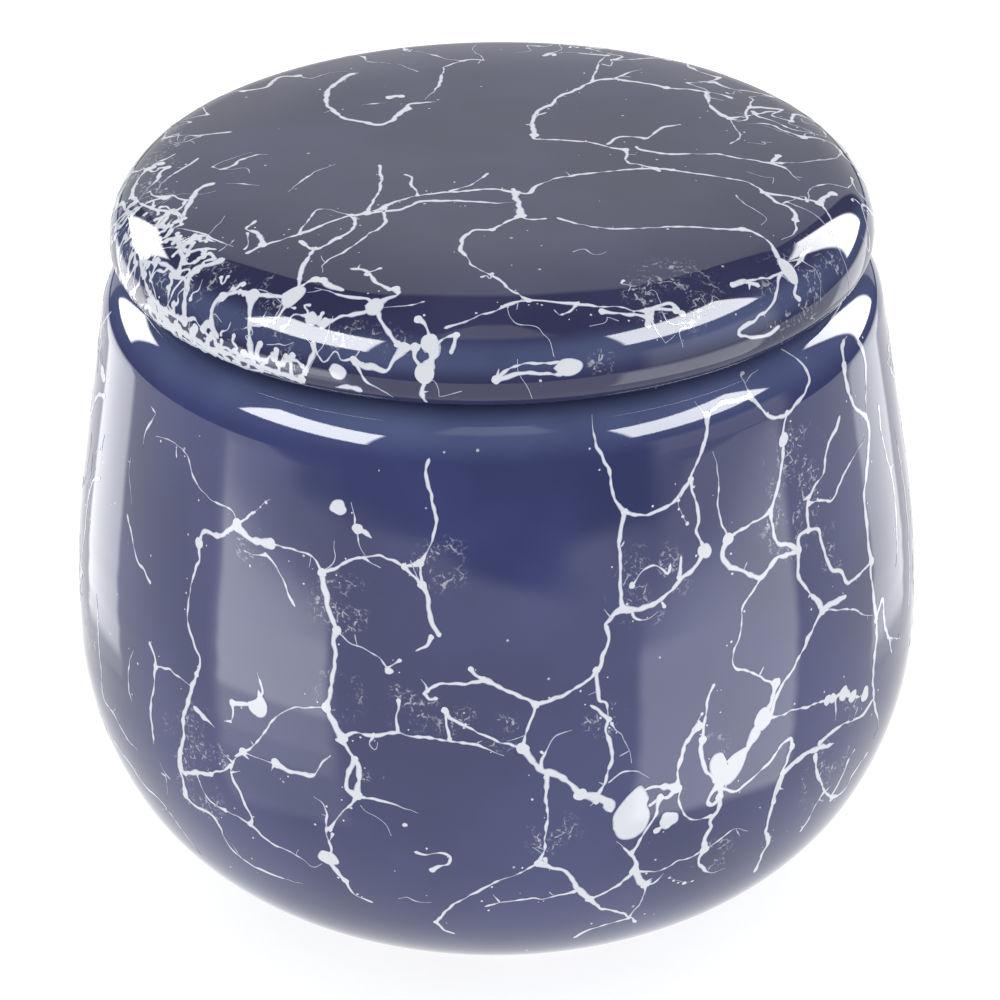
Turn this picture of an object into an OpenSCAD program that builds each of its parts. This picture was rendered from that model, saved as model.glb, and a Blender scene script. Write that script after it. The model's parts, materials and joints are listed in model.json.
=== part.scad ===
// Lidded vanity jar: a barrel-shaped glazed jar, a thick round lid with a plug under it,
// the soft seal round that plug, and four round pads under the foot.
// Millimetres, +Z up. The origin is on the jar's axis, where the pads meet the table.

/* [Jar] */
// Widest diameter of the jar
belly_d = 100; // [98:1:104]
// Height of the widest point above the table
belly_z = 32.5; // [31:0.5:34]
// Height of the jar's rim above the table
rim_z = 78.5; // [76:0.5:82]
// Radius of the bowl just under the widest point
bowl_r = 37.5; // [36:0.5:39]
// Angle below level where the bowl tightens into the heel
bowl_sweep = 25; // [23:1:27]
// Radius of the heel, which carries the bowl under the jar
heel_r = 25.5; // [25:0.5:26]
// Radius of the barrel curve above the widest point
side_r = 115; // [110:5:125]
// Lean of the side at the top of that curve, in degrees
side_lean = 9.7; // [9.3:0.1:10.1]
// Radius of the rounded shoulder
shoulder_r = 6.5; // [6:0.1:6.9]
// Thickness of the wall
wall = 4.5; // [4:0.25:5]
// Thickness of the floor
floor_t = 5; // [4:0.5:6]
// Diameter of the mouth
mouth_d = 72; // [70:0.5:73]
// Length of the mouth, from the rim down to the widening inside
mouth_l = 6.5; // [6:0.25:7]

/* [Foot] */
// Outer diameter of the foot ring
foot_outer_d = 57; // [56:0.5:58]
// Inner diameter of the foot ring
foot_inner_d = 40; // [38:0.5:41]
// Depth of the recess inside the foot ring
foot_recess = 1.2; // [0.8:0.1:1.6]
// Diameter of one pad
pad_d = 6.5; // [5:0.5:7]
// Thickness of one pad
pad_t = 1; // [0.8:0.1:1.4]
// Number of pads
pad_count = 4; // [4]

/* [Lid] */
// Diameter of the lid
lid_d = 86.6; // [86:0.2:88]
// Radius of the lid's rounded upper edge
lid_edge_r = 7.5; // [7:0.25:8]
// Radius of the lid's lower edge
lid_lower_r = 2.2; // [1.8:0.1:2.4]
// Diameter of the level middle of the lid's top
lid_level_d = 51; // [48:1:53]
// Radius of the crown between that middle and the rounded edge
crown_r = 80; // [70:5:90]
// Length of the plug below the lid
plug_l = 8; // [7.5:0.25:9]
// Thickness of the plug's wall
plug_wall = 4; // [3.5:0.25:5]
// Thickness of the lid at its middle
lid_t = 5.6; // [4.5:0.1:6.5]

/* [Seal] */
// Thickness of the flange between the lid and the rim
flange_t = 0.8; // [0.6:0.1:1]
// Thickness of the band round the plug
band_t = 1.3; // [1.1:0.1:1.5]
// Thickness of one lip at its root
lip_t = 0.9; // [0.7:0.1:1]
// Gap between the lips and the mouth
lip_gap = 0.15; // [0.1:0.05:0.3]
// Running gap between the band and the plug
band_gap = 0.05; // [0.03:0.01:0.08]

/* [Hidden] */
$fn = 180;
GLAZE = [0.13, 0.14, 0.31];
SEAL_BLACK = [0.06, 0.06, 0.065];
PAD_CLEAR = [0.80, 0.80, 0.79];

arc_step = 2;       // degrees between the points of a wide arc
small_arc_step = 9; // degrees between the points of an arc under small_r
small_r = 1.5;
edge_r = 0.8;       // small rounding on the mouth, foot and plug
inner_heel_r = 20;  // rounding between the inner wall and the floor
inner_shoulder_r = 3;
hollow_r = 3;       // rounding at the top of the hollow under the lid
plug_gap = 2;       // radial gap between the plug's bead and the mouth
groove_depth = 0.8; // depth of the seal's seat in the plug
bead_l = 3.2;       // length of the plug's bead below the seal
flange_inset = 0.2; // how far the flange stops short of the rim's outer end
lip_drop = 0.7;     // how far a lip's tip hangs below its root
lip_tip_t = 0.4;

// Circles of the outer profile, as [radius from the axis, height].
belly_r = belly_d / 2;
foot_z = pad_t;
bowl_c = [belly_r - bowl_r, belly_z];
heel_c = bowl_c + (bowl_r - heel_r) * [cos(bowl_sweep), -sin(bowl_sweep)];
foot_r = foot_outer_d / 2;
heel_sweep = acos((foot_r - heel_c[0]) / heel_r);
side_c = [belly_r - side_r, belly_z];
side_top = side_c + side_r * [cos(side_lean), sin(side_lean)];
shoulder_c = leaning_on_level(side_top, shoulder_r, rim_z - shoulder_r);

// Circles of the inner profile.
mouth_r = mouth_d / 2;
floor_z = foot_z + foot_recess + floor_t;
inner_heel_c = nested_on_level(bowl_c, bowl_r - wall, inner_heel_r, floor_z + inner_heel_r);
inner_heel_sweep = angle_down(bowl_c, inner_heel_c);
inner_top = side_top - wall * [cos(side_lean), sin(side_lean)];
mouth_end_z = rim_z - mouth_l;
inner_shoulder_c = leaning_on_level(inner_top, inner_shoulder_r, mouth_end_z - inner_shoulder_r);

// Lid and seal.
lid_r = lid_d / 2;
lid_z = rim_z + flange_t;
lid_lower_c = [lid_r - lid_lower_r, lid_z + lid_lower_r];
lid_edge_c = [lid_r - lid_edge_r, lid_z + lid_lower_r];
crown_sweep = acos((lid_edge_c[0] - lid_level_d / 2) / (crown_r - lid_edge_r));
crown_c = lid_edge_c - (crown_r - lid_edge_r) * [cos(crown_sweep), sin(crown_sweep)];
lid_top_z = crown_c[1] + crown_r;
plug_r = mouth_r - plug_gap;
plug_z = lid_z - plug_l;
groove_r = plug_r - groove_depth;
plug_inner_r = plug_r - plug_wall;
hollow_z = lid_top_z - lid_t;
band_r = groove_r + band_gap;
band_z = plug_z + bead_l;
lip_r = mouth_r - lip_gap;
flange_r = shoulder_c[0] - flange_inset;
pad_ring_r = (foot_inner_d + foot_outer_d) / 4;

// Points of an arc about c, from angle a0 to angle a1.
function arc(c, r, a0, a1) =
    let (step = r < small_r ? small_arc_step : arc_step)
    let (n = max(2, ceil(abs(a1 - a0) / step)))
    [for (i = [0:n]) c + r * [cos(a0 + (a1 - a0) * i / n), sin(a0 + (a1 - a0) * i / n)]];

// The same arc without its first point, which the arc before it has left there already.
function arc_on(c, r, a0, a1) =
    let (points = arc(c, r, a0, a1))
    [for (i = [1:len(points) - 1]) points[i]];

// Centre of a circle of radius r that touches the circle (c, big_r) from inside, with its
// centre at height z.
function nested_on_level(c, big_r, r, z) =
    [c[0] + sqrt(pow(big_r - r, 2) - pow(c[1] - z, 2)), z];

// Centre of a circle of radius r, at height z, that touches the leaning line through p.
function leaning_on_level(p, r, z) =
    [p[0] - (z + r * sin(side_lean) - p[1]) * tan(side_lean) - r * cos(side_lean), z];

// Angle below level of the line from a to b.
function angle_down(a, b) = atan2(a[1] - b[1], b[0] - a[0]);

function jar_outside() = concat(
    [[0, foot_z + foot_recess], [foot_inner_d / 2, foot_z + foot_recess]],
    arc([foot_inner_d / 2 + edge_r, foot_z + edge_r], edge_r, 180, 270),
    arc([foot_r - edge_r, foot_z + edge_r], edge_r, -90, 0),
    arc(heel_c, heel_r, -heel_sweep, -bowl_sweep),
    arc_on(bowl_c, bowl_r, -bowl_sweep, 0),
    arc_on(side_c, side_r, 0, side_lean),
    arc(shoulder_c, shoulder_r, side_lean, 90)
);

function jar_inside() = concat(
    arc([mouth_r + edge_r, rim_z - edge_r], edge_r, 90, 180),
    arc([mouth_r + edge_r, mouth_end_z + edge_r], edge_r, 180, 270),
    arc(inner_shoulder_c, inner_shoulder_r, 90, side_lean),
    arc(side_c, side_r - wall, side_lean, 0),
    arc_on(bowl_c, bowl_r - wall, 0, -inner_heel_sweep),
    arc_on(inner_heel_c, inner_heel_r, -inner_heel_sweep, -90),
    [[0, floor_z]]
);

module jar() {
    color(GLAZE)
        rotate_extrude()
            polygon(concat(jar_outside(), jar_inside()));
}

module lid() {
    outline = concat(
        [[0, lid_top_z]],
        arc(crown_c, crown_r, 90, crown_sweep),
        arc_on(lid_edge_c, lid_edge_r, crown_sweep, 0),
        arc_on(lid_lower_c, lid_lower_r, 0, -90),
        [[groove_r, lid_z], [groove_r, band_z]],
        arc([plug_r - edge_r / 2, band_z - edge_r / 2], edge_r / 2, 90, 0),
        arc([plug_r - edge_r, plug_z + edge_r], edge_r, 0, -90),
        arc([plug_inner_r + edge_r, plug_z + edge_r], edge_r, -90, -180),
        arc([plug_inner_r - hollow_r, hollow_z - hollow_r], hollow_r, 0, 90),
        [[0, hollow_z]]
    );
    color(GLAZE)
        rotate_extrude()
            polygon(outline);
}

// One soft lip of the seal, its root at height z, reaching out and down to the mouth.
function lip(z) = [
    [band_r + band_t, z + lip_t],
    [lip_r, z + lip_tip_t - lip_drop],
    [lip_r, z - lip_drop],
    [band_r + band_t, z]
];

module lid_seal() {
    band_h = lid_z - band_z - band_gap;
    first_lip_z = lid_z - flange_t - lip_t - 0.5;
    second_lip_z = band_z + band_gap + lip_drop;
    outline = concat(
        [[band_r, lid_z]],
        [[flange_r, lid_z], [flange_r, rim_z], [band_r + band_t, rim_z]],
        lip(first_lip_z),
        lip(second_lip_z),
        [[band_r + band_t, lid_z - band_h], [band_r, lid_z - band_h]]
    );
    color(SEAL_BLACK)
        rotate_extrude()
            polygon(outline);
}

module foot_pad(i) {
    color(PAD_CLEAR)
        rotate([0, 0, 45 + i * 360 / pad_count])
            translate([pad_ring_r, 0, 0])
                cylinder(d = pad_d, h = pad_t);
}

jar();
lid();
lid_seal();
for (i = [1:pad_count])
    foot_pad(i);
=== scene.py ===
"""Looks for the lidded vanity jar: navy glaze with white crackle veins, in a soft studio.

Marks on the jar are placed by (degrees round, mm up), with 0 degrees at the front and + to the right.
Marks on the lid's top are placed by (mm right, mm back) from its middle, and those on its edge by
(degrees round, mm up). Widths are in mm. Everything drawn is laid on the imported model's own outline.
"""
import json
import math

import bpy
import numpy as np
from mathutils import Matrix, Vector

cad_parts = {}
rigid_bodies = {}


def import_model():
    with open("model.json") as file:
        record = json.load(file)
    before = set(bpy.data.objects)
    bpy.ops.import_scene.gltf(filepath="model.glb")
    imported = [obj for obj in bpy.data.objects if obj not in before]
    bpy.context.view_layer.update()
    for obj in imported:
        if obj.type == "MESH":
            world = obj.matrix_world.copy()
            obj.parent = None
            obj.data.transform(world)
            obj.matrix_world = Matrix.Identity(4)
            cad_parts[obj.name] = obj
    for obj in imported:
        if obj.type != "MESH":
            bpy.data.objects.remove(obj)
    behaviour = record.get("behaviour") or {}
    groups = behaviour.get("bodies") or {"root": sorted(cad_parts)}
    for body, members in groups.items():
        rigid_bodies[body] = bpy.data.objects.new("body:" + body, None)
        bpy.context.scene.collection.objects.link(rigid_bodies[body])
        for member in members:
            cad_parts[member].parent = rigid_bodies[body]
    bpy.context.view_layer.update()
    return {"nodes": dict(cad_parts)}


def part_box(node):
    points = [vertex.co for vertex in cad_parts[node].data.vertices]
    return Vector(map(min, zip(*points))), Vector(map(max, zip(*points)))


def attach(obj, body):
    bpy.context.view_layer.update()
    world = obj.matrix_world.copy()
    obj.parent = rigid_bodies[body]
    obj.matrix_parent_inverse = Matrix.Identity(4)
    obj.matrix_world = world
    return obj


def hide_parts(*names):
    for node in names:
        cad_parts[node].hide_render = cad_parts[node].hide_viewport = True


for leftover in list(bpy.data.objects):
    bpy.data.objects.remove(leftover)

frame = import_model()

MM = 0.001


def in_scene(name, data):
    """A new object in the scene, with the given mesh or camera."""
    made = bpy.data.objects.new(name, data)
    bpy.context.scene.collection.objects.link(made)
    return made


def new_mesh(name, verts, faces):
    mesh = bpy.data.meshes.new(name)
    mesh.from_pydata(verts, [], faces)
    mesh.polygons.foreach_set("use_smooth", [True] * len(faces))
    return mesh

# ---------------------------------------------------------------- camera

TARGET_MM = (0, 0, 40)
CAMERA_RISE = 29.3      # degrees above level
CAMERA_ROLL = -0.8      # degrees
CAMERA_MM = 400         # distance from the target
FIELD_MM = 119.9        # width of the picture at the target


def make_camera():
    rise = math.radians(CAMERA_RISE)
    data = bpy.data.cameras.new("camera")
    camera = in_scene("camera", data)
    x, y, z = TARGET_MM
    back = CAMERA_MM * math.cos(rise)
    up = CAMERA_MM * math.sin(rise)
    camera.location = (x * MM, (y - back) * MM, (z + up) * MM)
    camera.rotation_euler = (math.pi / 2 - rise, 0, 0)
    camera.rotation_euler.rotate_axis("Z", math.radians(CAMERA_ROLL))
    data.sensor_width = 36
    data.lens = data.sensor_width * CAMERA_MM / FIELD_MM
    data.shift_x = 0.0038
    data.shift_y = 0.0396
    data.clip_start = 0.01
    bpy.context.scene.camera = camera


# ---------------------------------------------------------------- turned shapes

RING_COUNT = 256        # faces round a turned piece
RING_STEP = 1.6         # mm between rings along its outline
SHARP_DEG = 34          # corners tighter than this stay sharp


def turned_outline(node):
    """The node's outline as [radius, height] in mm, walked along its seam, and whether it is closed."""
    mesh = frame["nodes"][node].data
    points = np.empty(len(mesh.vertices) * 3)
    mesh.vertices.foreach_get("co", points)
    points = points.reshape(-1, 3) / MM
    on_seam = (np.abs(points[:, 1]) < 0.002) & (points[:, 0] > -0.002)
    links = {}
    for edge in mesh.edges:
        a, b = edge.vertices
        if not (on_seam[a] and on_seam[b]):
            continue
        key_a = tuple(np.round(points[a][[0, 2]], 3))
        key_b = tuple(np.round(points[b][[0, 2]], 3))
        if key_a != key_b:
            links.setdefault(key_a, set()).add(key_b)
            links.setdefault(key_b, set()).add(key_a)
    ends = sorted((k for k in links if len(links[k]) == 1), key=lambda k: k[1])
    chain = [ends[0] if ends else next(iter(links))]
    while True:
        here = chain[-1]
        ahead = [k for k in links[here] if k not in chain]
        if not ahead:
            break
        chain.append(min(ahead, key=lambda k: math.dist(k, here)))
    if ends:
        chain = [(0.0, chain[0][1])] + chain + [(0.0, chain[-1][1])]
    return np.array(chain), not ends


def in_short_steps(outline, step):
    """The same outline with no stretch longer than step."""
    points = [outline[0]]
    for a, b in zip(outline[:-1], outline[1:]):
        count = max(1, int(np.ceil(math.dist(a, b) / step)))
        points += [a + (b - a) * i / count for i in range(1, count + 1)]
    return np.array(points)


def lathe(name, outline, closed, pick_material=None):
    """A turned mesh. Rings at radius 0 become poles. pick_material(radius, height) gives a slot."""
    if closed:
        outline = np.vstack([outline, outline[:1]])
    outline = in_short_steps(outline, RING_STEP)
    if closed:
        outline = outline[:-1]
    angles = np.linspace(0, 2 * math.pi, RING_COUNT, endpoint=False)
    verts = []
    rings = []
    for r, z in outline:
        if r < 1e-6:
            rings.append([len(verts)])
            verts.append((0, 0, z * MM))
            continue
        rings.append(list(range(len(verts), len(verts) + RING_COUNT)))
        verts += [(r * math.cos(a) * MM, r * math.sin(a) * MM, z * MM) for a in angles]
    faces = []
    slots = []
    pairs = list(zip(range(len(rings)), range(1, len(rings))))
    if closed:
        pairs.append((len(rings) - 1, 0))
    for i, k in pairs:
        low, high = rings[i], rings[k]
        slot = pick_material(*((outline[i] + outline[k]) / 2)) if pick_material else 0
        for n in range(RING_COUNT):
            m = (n + 1) % RING_COUNT
            if len(low) == 1:
                faces.append((low[0], high[m], high[n]))
            elif len(high) == 1:
                faces.append((low[n], low[m], high[0]))
            else:
                faces.append((low[n], low[m], high[m], high[n]))
            slots.append(slot)
    mesh = new_mesh(name, verts, faces)
    mesh.polygons.foreach_set("material_index", slots)
    mesh.set_sharp_from_angle(angle=math.radians(SHARP_DEG))
    mesh.validate()
    return in_scene(name, mesh)


class Skin:
    """The outer stretch of a turned outline, which marks are laid on."""

    def __init__(self, outline):
        span = np.diff(outline, axis=0)
        length = np.hypot(span[:, 0], span[:, 1])
        keep = length > 1e-6
        self.start = outline[:-1][keep]
        self.span = span[keep]
        self.length = length[keep]
        across = np.stack([self.span[:, 1], -self.span[:, 0]], -1) / self.length[:, None]
        ends = np.vstack([across[:1], across[:-1] + across[1:], across[-1:]])
        self.ends = ends / np.hypot(ends[:, 0], ends[:, 1])[:, None]
        self.travel = np.concatenate([[0], np.cumsum(self.length)])
        self.corners = np.vstack([self.start, self.start[-1] + self.span[-1]])

    def lay(self, points):
        """The nearest place on the skin to each point, and the way out of the skin there."""
        radius = np.hypot(points[:, 0], points[:, 1])
        flat = np.stack([radius, points[:, 2]], -1)
        place = np.empty_like(points)
        out = np.empty_like(points)
        for first in range(0, len(points), 4000):
            part = slice(first, first + 4000)
            gap = flat[part, None] - self.start
            t = np.clip((gap * self.span).sum(-1) / self.length ** 2, 0, 1)
            foot = self.start + t[..., None] * self.span
            best = ((flat[part, None] - foot) ** 2).sum(-1).argmin(1)
            row = np.arange(len(best))
            foot = foot[row, best]
            t = t[row, best][:, None]
            normal = self.ends[best] * (1 - t) + self.ends[best + 1] * t
            normal /= np.hypot(normal[:, 0], normal[:, 1])[:, None]
            safe = np.maximum(radius[part], 1e-9)
            cos, sin = points[part, 0] / safe, points[part, 1] / safe
            place[part] = np.stack([foot[:, 0] * cos, foot[:, 0] * sin, foot[:, 1]], -1)
            out[part] = np.stack([normal[:, 0] * cos, normal[:, 0] * sin, normal[:, 1]], -1)
        return place, out

    def at_height(self, degrees, height):
        """The place on the skin at an angle round (0 at the front) and a height."""
        return self.at_travel(degrees, np.interp(height, self.corners[:, 1], self.travel))

    def at_travel(self, degrees, travel):
        """The place at an angle round and a distance along the skin from its lower edge."""
        a = np.radians(degrees)
        radius = np.interp(travel, self.travel, self.corners[:, 0])
        height = np.interp(travel, self.travel, self.corners[:, 1])
        return np.stack([radius * np.sin(a), -radius * np.cos(a), height + 0 * a], -1)


# ---------------------------------------------------------------- drawing veins

PATH_STEP = 0.22        # mm between the points of a vein
LIFT = 0.03             # mm that the middle of a vein stands above the glaze
EDGE_LIFT = 0.014       # mm that its edges do
SHORE_LIFT = 0.008      # mm that its shores do
SHORE = 0.12            # mm of deep navy on each shore of a vein
WIDE = 0.2              # mm of half-width from which a vein has its whole shore
LEAST_SHORE = 0.25      # the share of the shore that the thinnest veins have
OPAQUE = 0.12           # mm of half-width from which a vein is fully white
LEAST_INK = 0.7         # how white the thinnest veins are
THINNING = 0.57         # how much of its stated width a vein keeps
SWAY = ((0.28, 3.1), (0.11, 0.9))       # how far a vein sways, and over how long, in mm
SWELL = ((0.38, 1.9), (0.42, 0.6))      # the share by which it swells, and over how many mm
STEADY = 1.5            # mm at a vein's ends over which it sways less
JOINT_SWELL = 0.45      # the share by which it is wider at a joint
ROUND_ENDS = 0.45       # the share of the free ends that are round; the others taper
TAPER = 4.5             # mm over which those taper
# Places across a vein, as shares of half its width, with their white and their lift.
ACROSS = (-1.0, -1.0, -0.65, 0.0, 0.65, 1.0, 1.0)
SHORES = (-1, 0, 0, 0, 0, 0, 1)
RIM_INK = 0.55          # how white the rim of a vein or drop is
POOL_RIM_INK = 0.6
INK = (0.0, RIM_INK, 0.92, 1.0, 0.92, RIM_INK, 0.0)
LIFTS = (SHORE_LIFT, EDGE_LIFT, LIFT, LIFT, LIFT, EDGE_LIFT, SHORE_LIFT)
DROP_SWELL = 0.05       # mm that the middle of a large drop stands above a vein
SMALL_DROP = 0.25       # mm of radius, below which a drop is made of fewer faces
JOINT_REACH = 0.9       # mm within which veins' places count as joined
THINNEST = 0.035        # mm, the least half-width of a vein
HAIR_SPACING = 16       # mm of vein for each hair that leaves it, on average
BEAD_SPACING = 5        # mm of vein for each bead beside it, on average


def ripple(along, wave, rng):
    """A smooth random curve from about -1 to 1, with bumps about one wave long."""
    count = int(along[-1] / wave) + 3
    table = rng.uniform(-1, 1, count)
    t = along / wave
    i = np.minimum(t.astype(int), count - 2)
    f = t - i
    f = f * f * (3 - 2 * f)
    return table[i] * (1 - f) + table[i + 1] * f


def curve_through(points):
    """A dense path through the points, on a Catmull-Rom curve."""
    points = np.asarray(points, float)
    if len(points) == 2:
        middle = points.mean(0)
        points = np.array([points[0], middle, points[1]])
    padded = np.vstack([2 * points[0] - points[1], points, 2 * points[-1] - points[-2]])
    path = []
    for p0, p1, p2, p3 in zip(padded, padded[1:], padded[2:], padded[3:]):
        count = max(2, int(np.linalg.norm(p2 - p1) / PATH_STEP))
        t = np.linspace(0, 1, count, endpoint=False)[:, None]
        path.append(0.5 * (2 * p1 + (p2 - p0) * t + (2 * p0 - 5 * p1 + 4 * p2 - p3) * t ** 2
                           + (3 * p1 - p0 - 3 * p2 + p3) * t ** 3))
    return np.vstack(path + [points[-1:]])


def unit(v):
    return v / np.maximum(np.linalg.norm(v, axis=-1, keepdims=True), 1e-9)


class Marks:
    """Thin strips and drops of white glaze, gathered into one mesh."""

    def __init__(self, skin, seed):
        self.skin = skin
        self.rng = np.random.default_rng(seed)
        self.verts = []
        self.outs = []
        self.inks = []
        self.faces = []
        self.count = 0
        self.joints = np.empty((0, 3))

    def add(self, verts, outs, inks, faces):
        self.verts.append(verts)
        self.outs.append(outs)
        self.inks.append(inks)
        self.faces += [tuple(v + self.count for v in face) for face in faces]
        self.count += len(verts)

    def is_joint(self, point):
        if not len(self.joints):
            return False
        near = np.linalg.norm(self.joints - point, axis=1) < JOINT_REACH
        return near.sum() > 1

    def strand(self, points, width, ink=1.0, wobble=1.0, barbs=True):
        """A vein through the points. It swells where it meets another, and thins out elsewhere."""
        path = curve_through(points)
        step = np.linalg.norm(np.diff(path, axis=0), axis=1)
        along = np.concatenate([[0], np.cumsum(step)])
        total = along[-1]
        if total < 0.3:
            return
        path, out = self.skin.lay(path)
        ahead = unit(np.gradient(path, axis=0))
        side = unit(np.cross(out, ahead))
        ease = np.minimum(1, np.minimum(along, total - along) / STEADY)
        sway = sum(far * ripple(along, wave, self.rng) for far, wave in SWAY)
        path = path + side * (sway * wobble * ease)[:, None]
        half = width * THINNING / 2
        half = half * (1 + sum(share * ripple(along, wave, self.rng) for share, wave in SWELL))
        joined = []
        for end, gap in ((0, along), (-1, total - along)):
            if self.is_joint(np.asarray(points[end], float)):
                joined.append(end)
                half = half * (1 + JOINT_SWELL * np.exp(-gap / 0.7))
                half = half + 0.12 * np.exp(-gap / 0.4)
            elif self.rng.random() < ROUND_ENDS:
                reach = width * 0.65
                half = half * (1 + 0.35 * np.exp(-gap / 0.9))
                half = half * np.sqrt(np.clip(1 - (1 - gap / reach).clip(0, 1) ** 2, 0.02, 1))
            else:
                half = half * np.clip(gap / min(TAPER, total * 0.5), 0.12, 1) ** 0.8
        self.strip(path, np.maximum(half, THINNEST), ink)
        for end in joined:
            self.drop(path[end], max(half[end], 0.05) * 1.05, ink, ragged=0.07, shored=False)
        if barbs:
            self.spurs(path, out, side, along, ink)

    def strip(self, path, half, ink):
        path, out = self.skin.lay(path)
        side = unit(np.cross(out, unit(np.gradient(path, axis=0))))
        rows = len(ACROSS)
        shore = SHORE * np.clip(half / WIDE, LEAST_SHORE, 1)
        reach = half[:, None] * np.array(ACROSS) + shore[:, None] * np.array(SHORES)
        spread = path[:, None] + side[:, None] * reach[..., None]
        verts, outs = self.skin.lay(spread.reshape(-1, 3))
        verts = verts + outs * np.tile(LIFTS, len(path))[:, None]
        thin = np.clip(half / OPAQUE, LEAST_INK, 1)
        inks = np.array(INK)[None, :] * thin[:, None] * ink
        grid = verts.reshape(len(path), rows, 3)
        along, across = grid[1:, :-1] - grid[:-1, :-1], grid[:-1, 1:] - grid[:-1, :-1]
        upright = (np.cross(along, across) * outs.reshape(grid.shape)[:-1, :-1]).sum(-1) > 0
        faces = []
        for i, k in zip(*np.nonzero(upright)):
            a = int(i * rows + k)
            faces.append((a, a + rows, a + rows + 1, a + 1))
        self.add(verts, outs, inks.reshape(-1), faces)

    def spurs(self, path, out, side, along, ink):
        """Short hairs that leave a vein sideways, and beads beside it."""
        ahead = unit(np.gradient(path, axis=0))
        for _ in range(self.rng.poisson(along[-1] / HAIR_SPACING)):
            i = self.rng.integers(len(path))
            way = side[i] * self.rng.choice([-1, 1]) + ahead[i] * self.rng.normal(0, 0.7)
            reach = self.rng.uniform(0.5, 1.5)
            bend = np.cross(out[i], way) * self.rng.normal(0, 0.3)
            hair = [path[i], path[i] + way * reach * 0.5 + bend * 0.4, path[i] + way * reach + bend]
            self.strand(hair, self.rng.uniform(0.16, 0.3), ink, 0.5, barbs=False)
        for _ in range(self.rng.poisson(along[-1] / BEAD_SPACING)):
            i = self.rng.integers(len(path))
            away = side[i] * self.rng.normal(0, 0.9)
            self.drop(path[i] + away, self.rng.uniform(0.06, 0.17), ink * 0.9)

    def drop(self, centre, radius, ink=1.0, stretch=1.0, lean=0.0, ragged=0.12, shored=True):
        """A round-edged spot. It is stretched along a lean from level, in degrees."""
        centre, out = self.skin.lay(np.asarray(centre, float)[None])
        centre, out = centre[0], out[0]
        level = unit(np.cross([0, 0, 1], out)) if abs(out[2]) < 0.98 else np.array([1.0, 0, 0])
        rise = np.cross(out, level)
        turn = math.radians(lean)
        long_way = level * math.cos(turn) + rise * math.sin(turn)
        short_way = np.cross(out, long_way)
        small = radius < SMALL_DROP
        sides = 10 if small else 28
        rings = (0.55, 1.0) if small else (0.4, 0.75, 0.92, 1.0)
        if shored and not small:
            rings += (1 + SHORE / radius,)
        a = np.linspace(0, 2 * math.pi, sides, endpoint=False)
        shape = 1 + ragged * (np.sin(2 * a + self.rng.uniform(0, 6.3)) * self.rng.uniform(0.3, 1)
                              + np.sin(3 * a + self.rng.uniform(0, 6.3)) * self.rng.uniform(0.2, 0.8)
                              + np.sin(5 * a + self.rng.uniform(0, 6.3)) * self.rng.uniform(0.1, 0.5))
        rim = (np.cos(a) * stretch * radius * shape)[:, None] * long_way
        rim = rim + (np.sin(a) * radius * shape)[:, None] * short_way
        self.mound(centre, rim, rings, 4, min(DROP_SWELL, radius * DROP_SWELL), RIM_INK, ink)

    def pool(self, rim):
        """A broad pool of glaze inside a rim of points, which goes once round its middle."""
        rim = curve_through(np.vstack([rim, rim[:1]]))[:-1]
        centre = rim.mean(0)
        rim = rim - centre
        broad = np.linalg.norm(rim, axis=1).mean()
        self.mound(centre, rim, (0.35, 0.7, 0.9, 1.0, 1 + SHORE / broad), 6, DROP_SWELL, POOL_RIM_INK)

    def mound(self, centre, rim, rings, flatness, swell, rim_ink, ink=1.0):
        """A low mound, in rings from its centre out. The rim's points are measured from the centre."""
        sides = len(rim)
        verts, outs = self.skin.lay(np.vstack([centre[None]] + [centre + rim * k for k in rings]))
        dome = np.array([1.0] + [max(0, 1 - k ** flatness) for k in rings for _ in range(sides)])
        verts = verts + outs * (EDGE_LIFT + (LIFT + swell) * dome)[:, None]
        white = [1.0 if k < 1 else rim_ink if k == 1 else 0.0 for k in rings]
        inks = np.array([1.0] + [value for value in white for _ in range(sides)]) * ink
        turns = [(k, (k + 1) % sides) for k in range(sides)]
        faces = [(0, 1 + k, 1 + m) for k, m in turns]
        for low in range(1, 1 + (len(rings) - 1) * sides, sides):
            high = low + sides
            faces += [(low + k, high + k, high + m, low + m) for k, m in turns]
        if np.cross(rim[0], rim[sides // 8]) @ outs[0] < 0:
            faces = [face[::-1] for face in faces]
        self.add(verts, outs, inks, faces)

    def finish(self, name, material):
        mesh = new_mesh(name, (np.vstack(self.verts) * MM).tolist(), self.faces)
        ink = mesh.attributes.new("ink", "FLOAT", "POINT")
        ink.data.foreach_set("value", np.concatenate(self.inks))
        mesh.normals_split_custom_set_from_vertices(np.vstack(self.outs).tolist())
        mesh.materials.append(material)
        return in_scene(name, mesh)


def cell_walls(width, height, size, seed, keep, jitter):
    """Walls of a net of uneven six-sided cells over a width by height field, as pairs of points."""
    rng = np.random.default_rng(seed)
    columns = int(width / size) + 2
    rows = int(height / (size * 0.87)) + 2
    node = {}
    for row in range(-1, rows + 1):
        for column in range(-1, columns + 1):
            x = (column + 0.5 * (row % 2)) * size
            y = row * size * 0.87
            for kind, lift in ((0, 0.29), (1, -0.29)):
                shift = rng.normal(0, jitter * size * 0.5, 2)
                node[(column, row, kind)] = (x + shift[0], y + lift * size + shift[1])
    walls = []
    for (column, row, kind), place in node.items():
        if kind != 0:
            continue
        odd = row % 2
        partners = [(column, row, 1), (column + odd, row + 1, 1), (column + odd - 1, row + 1, 1)]
        for other in partners:
            if other in node and rng.random() < keep:
                walls.append((place, node[other]))
    return walls


# ---------------------------------------------------------------- where the veins run

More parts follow.
